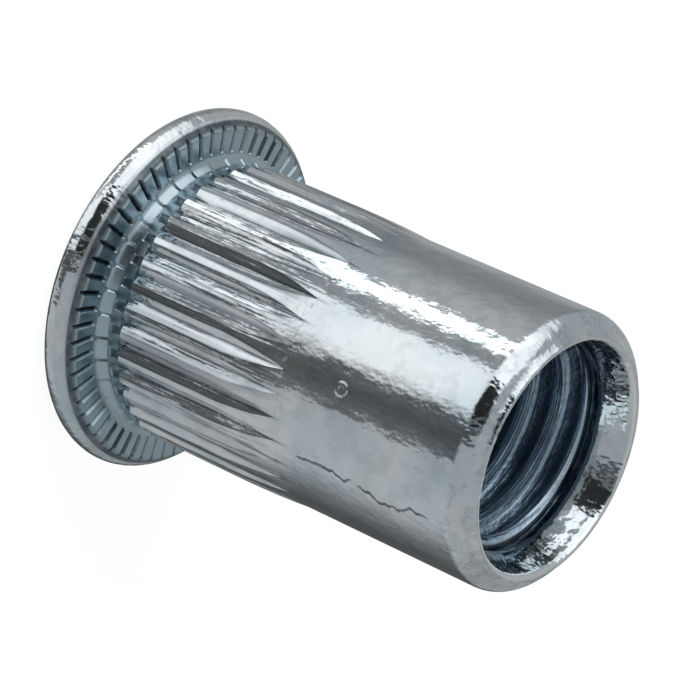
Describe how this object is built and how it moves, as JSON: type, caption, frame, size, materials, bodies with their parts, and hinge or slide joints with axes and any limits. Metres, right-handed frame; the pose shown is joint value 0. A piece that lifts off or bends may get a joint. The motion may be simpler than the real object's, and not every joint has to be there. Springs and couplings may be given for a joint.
{
  "type": "rivet nut",
  "caption": "Blind rivet nut: flat round head with a serrated seat, ribbed cylindrical shank and an open threaded end, pulled up behind a thin panel to give it a strong thread.",
  "frame": {"origin": "centre of the head's flat face, on the surface that the nut stands on", "axes": "+Z along the nut's axis, from the head to the open threaded end"},
  "size_m": [0.016, 0.016, 0.021],
  "materials": {
    "zinc_plated_steel": "bright zinc plating with a faint blue tint, slightly wrinkled"
  },
  "bodies": {
    "root": {"rivet_nut": "zinc_plated_steel"}
  },
  "joints": []
}
